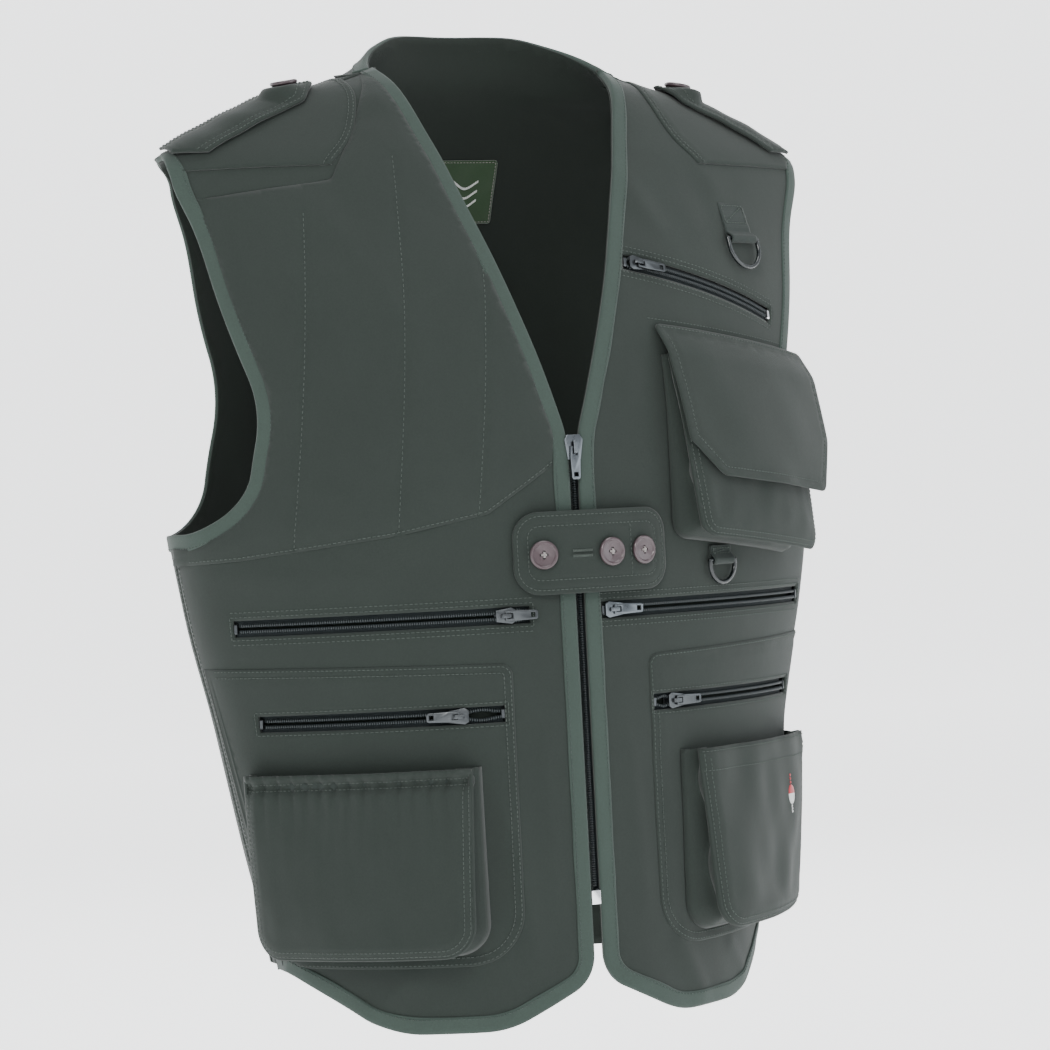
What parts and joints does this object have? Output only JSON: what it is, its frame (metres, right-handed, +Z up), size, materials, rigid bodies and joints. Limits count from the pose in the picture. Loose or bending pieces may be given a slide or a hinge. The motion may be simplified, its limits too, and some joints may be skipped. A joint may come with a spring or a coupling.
{
  "type": "fishing vest",
  "caption": "Sleeveless V-neck fishing vest with zipped and bellows pockets, buttoned closure tab, shoulder straps and D-rings.",
  "frame": {"origin": "midway between the two sides of the neck, at the height where the vest rests on the wearer's shoulders", "axes": "+Z up, +X towards the wearer's left, the front faces -Y"},
  "size_m": [0.4717, 0.2711, 0.6707],
  "materials": {
    "shell_cloth": "matte twill",
    "binding": "woven tape",
    "lining": "plain lining",
    "webbing": "ribbed webbing",
    "zip_tape": "zip tape",
    "zip_coil": "nylon coil",
    "zip_metal": "black nickel",
    "bright_metal": "bright",
    "ring": "black gloss",
    "button": "plum brown",
    "neck_label": "woven label",
    "size_label": "printed tape",
    "elastic": "elastic"
  },
  "bodies": {
    "vest": {"back_edge_binding": "binding", "back_lining": "lining", "back_panel": "shell_cloth", "insertion_pin": "zip_metal", "left_armhole_binding": "binding", "left_chest_pocket": "shell_cloth", "left_chest_zip": "zip_tape", "left_front_binding": "binding", "left_front_lining": "lining", "left_front_panel": "shell_cloth", "left_lower_patch": "shell_cloth", "left_lower_pocket": "shell_cloth", "left_lower_zip": "zip_tape", "left_shoulder_patch": "shell_cloth", "left_waist_zip": "zip_tape", "left_zip_coil": "zip_coil", "left_zip_tape": "zip_tape", "lower_d_ring_webbing": "webbing", "neck_label": "neck_label", "recoil_pad": "shell_cloth", "retainer_box": "bright_metal", "right_armhole_binding": "binding", "right_front_binding": "binding", "right_front_lining": "lining", "right_front_panel": "shell_cloth", "right_lower_patch": "shell_cloth", "right_lower_pocket": "shell_cloth", "right_lower_zip": "zip_tape", "right_pocket_elastic": "elastic", "right_shoulder_patch": "shell_cloth", "right_waist_zip": "zip_tape", "right_zip_coil": "zip_coil", "right_zip_tape": "zip_tape", "size_label": "size_label", "upper_d_ring_webbing": "webbing", "zip_top_stops": "zip_metal"},
    "main_slider": {"main_slider": "zip_metal"},
    "main_pull": {"main_pull": "zip_metal"},
    "right_waist_slider": {"right_waist_slider": "zip_metal"},
    "left_waist_slider": {"left_waist_slider": "zip_metal"},
    "right_lower_slider": {"right_lower_slider": "zip_metal"},
    "left_lower_slider": {"left_lower_slider": "zip_metal"},
    "left_chest_slider": {"left_chest_slider": "zip_metal"},
    "right_waist_pull": {"right_waist_pull": "zip_metal"},
    "left_waist_pull": {"left_waist_pull": "zip_metal"},
    "right_lower_pull": {"right_lower_pull": "zip_metal"},
    "left_lower_pull": {"left_lower_pull": "zip_metal"},
    "left_chest_pull": {"left_chest_pull": "zip_metal"},
    "upper_d_ring": {"upper_d_ring": "ring"},
    "lower_d_ring": {"lower_d_ring": "ring"},
    "chest_flap": {"left_chest_flap": "shell_cloth"},
    "right_epaulet": {"right_epaulet": "shell_cloth", "right_epaulet_button": "button"},
    "left_epaulet": {"left_epaulet": "shell_cloth", "left_epaulet_button": "button"},
    "closure_tab": {"closure_tab": "shell_cloth", "tab_button_1": "button", "tab_button_2": "button", "tab_button_3": "button"}
  },
  "joints": [
    {"name": "main_zip_slide", "type": "slide", "parent": "vest", "child": "main_slider", "axis": [0, 0, -1], "range_m": [0, 0.28]},
    {"name": "main_pull_swing", "type": "hinge", "parent": "main_slider", "child": "main_pull", "pos_m": [0, -0.13005, -0.256], "axis": [-1, 0, 0], "range_deg": [0, 175]},
    {"name": "right_waist_zip_slide", "type": "hinge", "parent": "vest", "child": "right_waist_slider", "pos_m": [0, 0.16203, -0.363], "axis": [0, 0, -1], "range_deg": [-1.86, 34.44]},
    {"name": "right_waist_pull_swing", "type": "hinge", "parent": "right_waist_slider", "child": "right_waist_pull", "pos_m": [-0.05231, -0.12462, -0.363], "axis": [0, 0, -1], "range_deg": [0, 175]},
    {"name": "left_waist_zip_slide", "type": "hinge", "parent": "vest", "child": "left_waist_slider", "pos_m": [0, 0.16203, -0.363], "axis": [0, 0, 1], "range_deg": [-0.28, 40.07]},
    {"name": "left_waist_pull_swing", "type": "hinge", "parent": "left_waist_slider", "child": "left_waist_pull", "pos_m": [0.02395, -0.12836, -0.363], "axis": [0, 0, -1], "range_deg": [0, 175]},
    {"name": "right_lower_zip_slide", "type": "hinge", "parent": "vest", "child": "right_lower_slider", "pos_m": [0, 0.13192, -0.426], "axis": [0, 0, -1], "range_deg": [-5.18, 28.15]},
    {"name": "right_lower_pull_swing", "type": "hinge", "parent": "right_lower_slider", "child": "right_lower_pull", "pos_m": [-0.08517, -0.11508, -0.426], "axis": [0, 0, 1], "range_deg": [0, 175]},
    {"name": "left_lower_zip_slide", "type": "hinge", "parent": "vest", "child": "left_lower_slider", "pos_m": [0, 0.13192, -0.426], "axis": [0, 0, 1], "range_deg": [-2.52, 31.6]},
    {"name": "left_lower_pull_swing", "type": "hinge", "parent": "left_lower_slider", "child": "left_lower_pull", "pos_m": [0.07017, -0.11975, -0.426], "axis": [0, 0, -1], "range_deg": [0, 175]},
    {"name": "left_chest_zip_slide", "type": "hinge", "parent": "vest", "child": "left_chest_slider", "pos_m": [0.00914, 0.18642, -0.24048], "axis": [0.1429, 0.3565, 0.9233], "range_deg": [-0.62, 22.36]},
    {"name": "left_chest_pull_swing", "type": "hinge", "parent": "left_chest_slider", "child": "left_chest_pull", "pos_m": [0.0637, -0.10935, -0.13474], "axis": [-0.1429, -0.3565, -0.9233], "range_deg": [0, 175]},
    {"name": "upper_d_ring_swing", "type": "hinge", "parent": "vest", "child": "upper_d_ring", "pos_m": [0.16079, -0.07461, -0.1164], "axis": [-0.9181, -0.3963, 0], "range_deg": [0, 150]},
    {"name": "lower_d_ring_swing", "type": "hinge", "parent": "vest", "child": "lower_d_ring", "pos_m": [0.11538, -0.10758, -0.3351], "axis": [-0.9259, -0.3778, 0], "range_deg": [0, 95]},
    {"name": "chest_flap_lift", "type": "hinge", "parent": "vest", "child": "chest_flap", "pos_m": [0.14826, -0.0978, -0.186], "axis": [-0.9062, -0.4038, 0.1257], "range_deg": [0, 75]},
    {"name": "right_epaulet_lift", "type": "hinge", "parent": "vest", "child": "right_epaulet", "pos_m": [-0.2284, -0.0167, -0.04732], "axis": [0, -1, 0], "range_deg": [0, 100]},
    {"name": "left_epaulet_lift", "type": "hinge", "parent": "vest", "child": "left_epaulet", "pos_m": [0.22835, -0.01671, -0.04729], "axis": [0, 1, 0], "range_deg": [0, 100]},
    {"name": "closure_tab_open", "type": "hinge", "parent": "vest", "child": "closure_tab", "pos_m": [0.066, -0.12151, -0.297], "axis": [0, 0, 1], "range_deg": [0, 85]}
  ]
}
